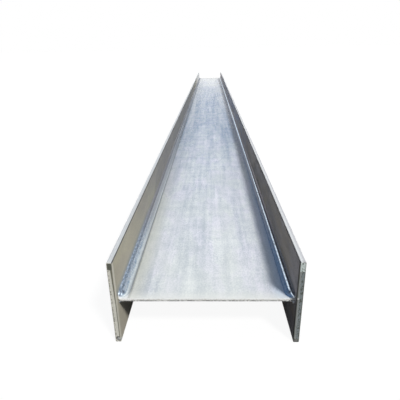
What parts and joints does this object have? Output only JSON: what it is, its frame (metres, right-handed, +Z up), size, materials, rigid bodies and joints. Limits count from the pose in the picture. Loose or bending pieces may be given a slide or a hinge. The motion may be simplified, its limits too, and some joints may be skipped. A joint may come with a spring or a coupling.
{
  "type": "welded steel h-beam",
  "caption": "Hot-dip galvanised steel H-beam: a level web plate fillet-welded between upright flange plates that reach a little past it, open troughs above and below, square-cut ends.",
  "frame": {"origin": "on the floor under the middle of the beam, centred between the outer faces of the flanges and between the two ends", "axes": "+X across the depth of the section towards the right-hand flange, +Y along the beam away from its near end, +Z up"},
  "size_m": [0.25, 4, 0.125],
  "materials": {
    "web_zinc": "bright hot-dip zinc on plate, soft mottling and streaks along the beam",
    "flange_zinc": "duller hot-dip zinc on plate, pitted on the cut ends",
    "weld_zinc": "glossy rippled zinc over fillet welds"
  },
  "bodies": {
    "root": {"web_plate": "web_zinc", "left_flange": "flange_zinc", "right_flange": "flange_zinc", "upper_left_weld": "weld_zinc", "upper_right_weld": "weld_zinc", "lower_left_weld": "weld_zinc", "lower_right_weld": "weld_zinc"}
  },
  "joints": []
}
